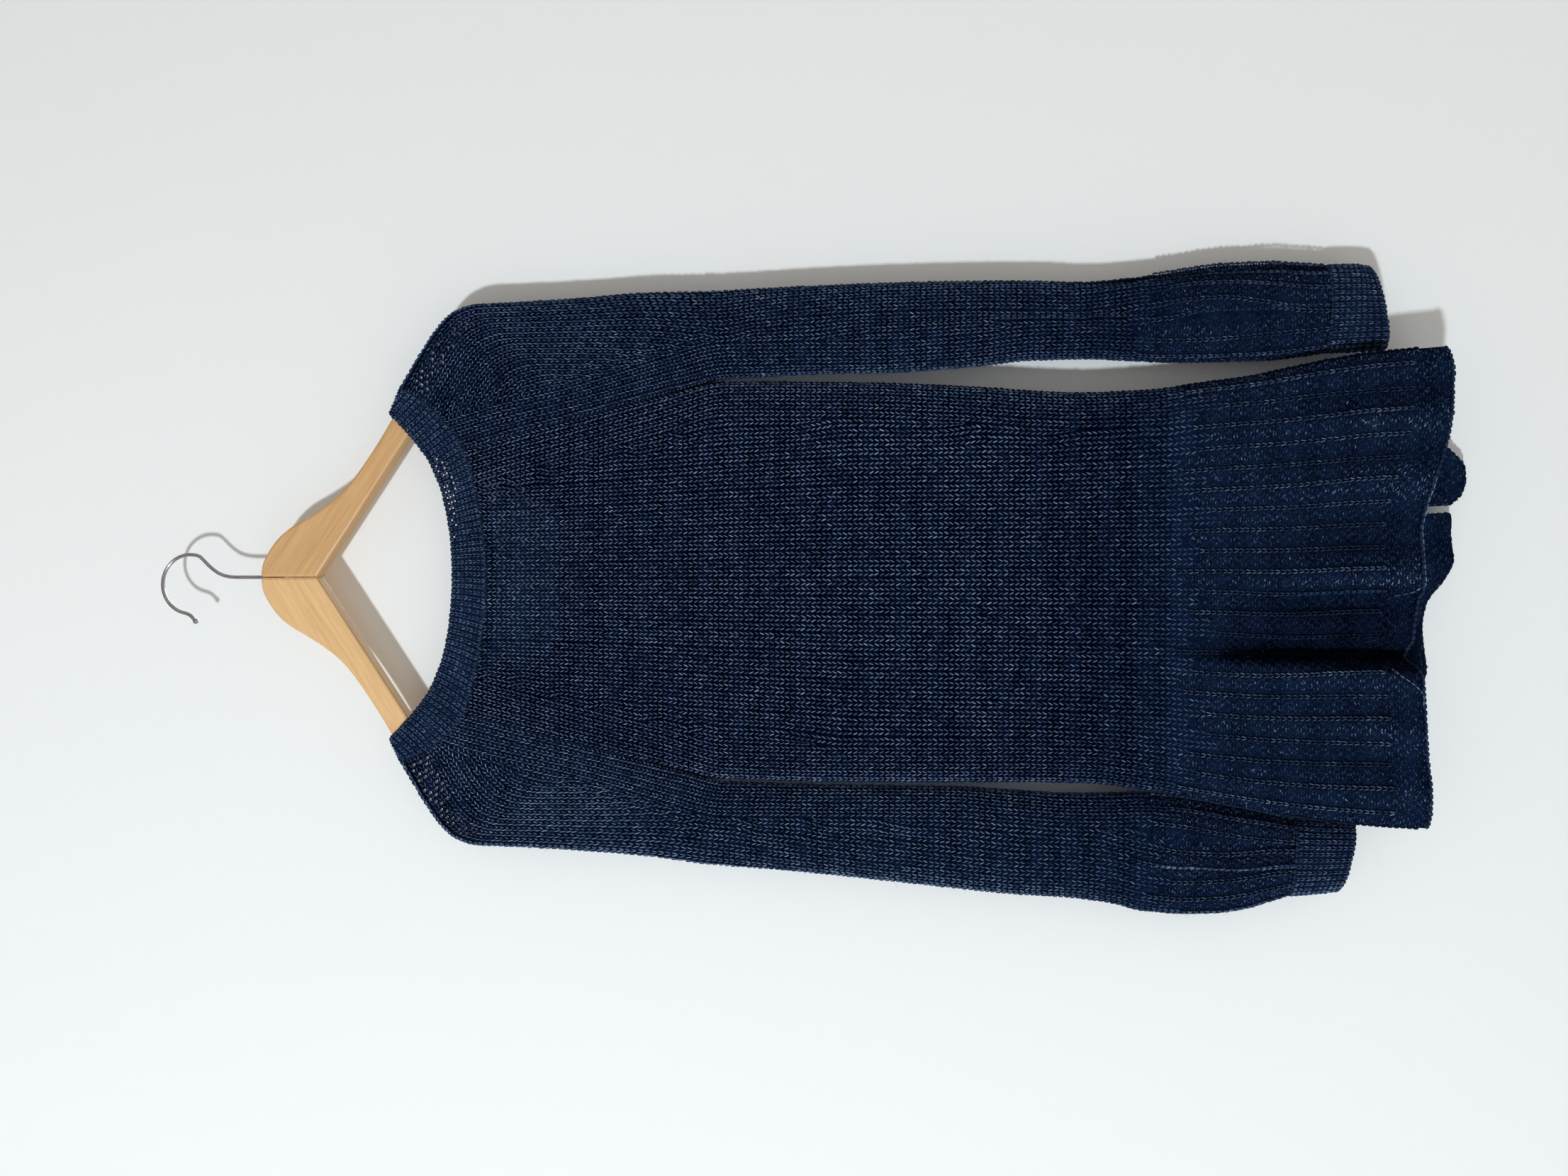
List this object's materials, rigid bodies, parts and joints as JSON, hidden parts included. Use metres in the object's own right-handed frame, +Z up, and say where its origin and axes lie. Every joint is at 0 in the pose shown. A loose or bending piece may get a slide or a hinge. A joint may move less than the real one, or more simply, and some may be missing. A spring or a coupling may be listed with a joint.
{
  "type": "knitted cardigan on a wooden clothes hanger",
  "caption": "Long-sleeved navy knitted cardigan with raglan sleeves, ribbed neckband, balloon cuffs and ribbed flounce, hung on a flat wooden hanger with a wire hook.",
  "frame": {"origin": "the point inside the top of the hook that rests on a peg or rail", "axes": "+X to the right of someone facing the garment's back, +Y away from them, from the back panel towards the fronts, +Z up"},
  "size_m": [0.5005, 0.0711, 1.0655],
  "materials": {
    "knit": "loose wool-blend stocking stitch, slightly hairy",
    "rib_knit": "fine rib in the same yarn",
    "wood": "satin lacquer",
    "hook": "polished"
  },
  "bodies": {
    "root": {"back_panel": "knit", "left_front": "knit", "right_front": "knit", "left_sleeve": "knit", "right_sleeve": "knit", "left_cuff": "rib_knit", "right_cuff": "rib_knit", "neckband": "rib_knit", "hanger_arm_left": "wood", "hanger_arm_right": "wood", "hanger_hook": "hook"}
  },
  "joints": []
}
